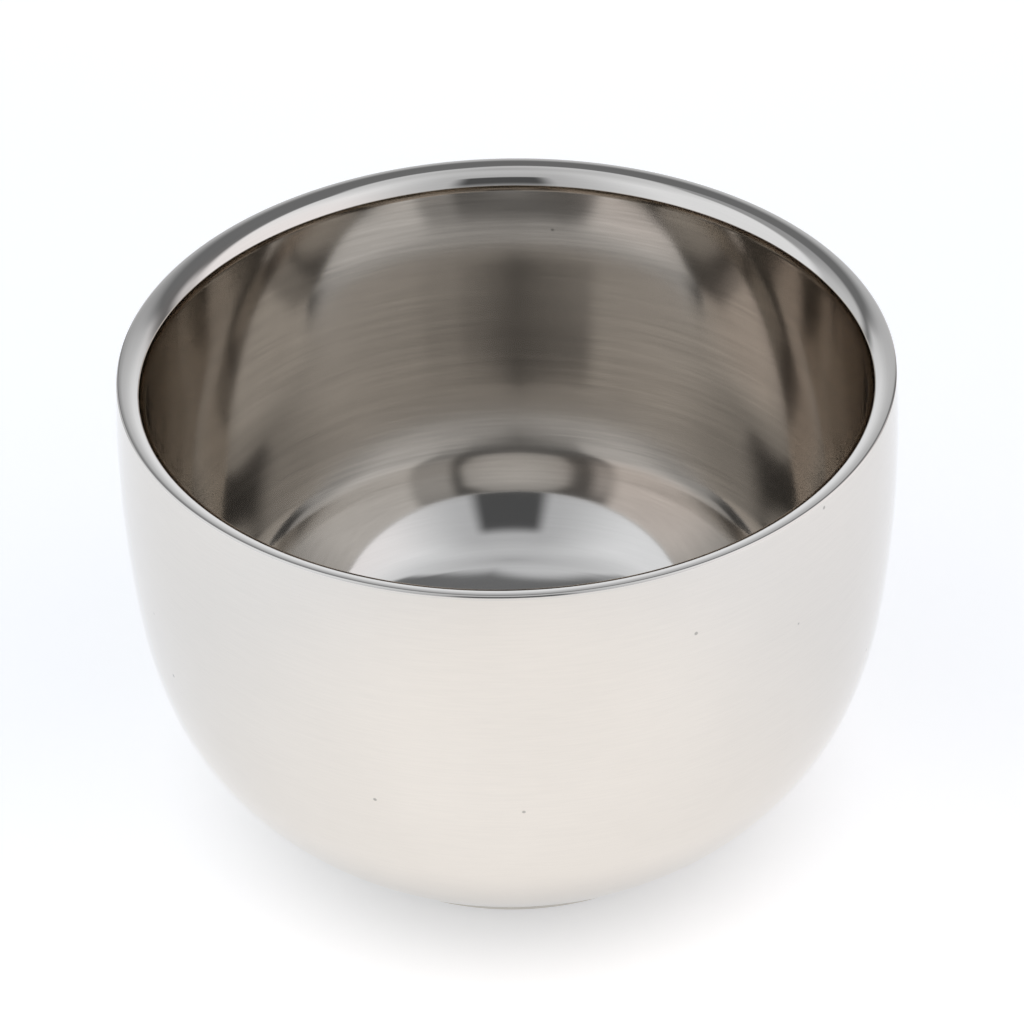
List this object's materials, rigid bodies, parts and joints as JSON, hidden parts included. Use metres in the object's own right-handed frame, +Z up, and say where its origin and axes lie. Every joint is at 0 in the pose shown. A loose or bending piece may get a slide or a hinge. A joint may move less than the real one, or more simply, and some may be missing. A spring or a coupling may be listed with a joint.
{
  "type": "shaving bowl",
  "caption": "Round double-walled stainless steel shaving bowl: rolled polished lip, satin liner and shell, low foot with a recessed base, no handle.",
  "frame": {"origin": "centre of the ring that the bowl stands on, on the resting plane", "axes": "+Z up along the bowl's axis of revolution, towards its mouth; X and Y are any two level directions"},
  "size_m": [0.0982, 0.0982, 0.066],
  "materials": {
    "shell_steel": "bright satin, fine lines running round the bowl",
    "liner_steel": "satin with fine lines running round the wall, mirror polished on the rolled lip",
    "weld_steel": "ground flush and polished",
    "base_steel": "satin with turned rings",
    "plug_steel": "dull as pressed"
  },
  "bodies": {
    "root": {"outer_shell": "shell_steel", "inner_liner": "liner_steel", "rim_weld": "weld_steel", "base_plate": "base_steel", "base_weld": "weld_steel", "vent_plug": "plug_steel"}
  },
  "joints": []
}
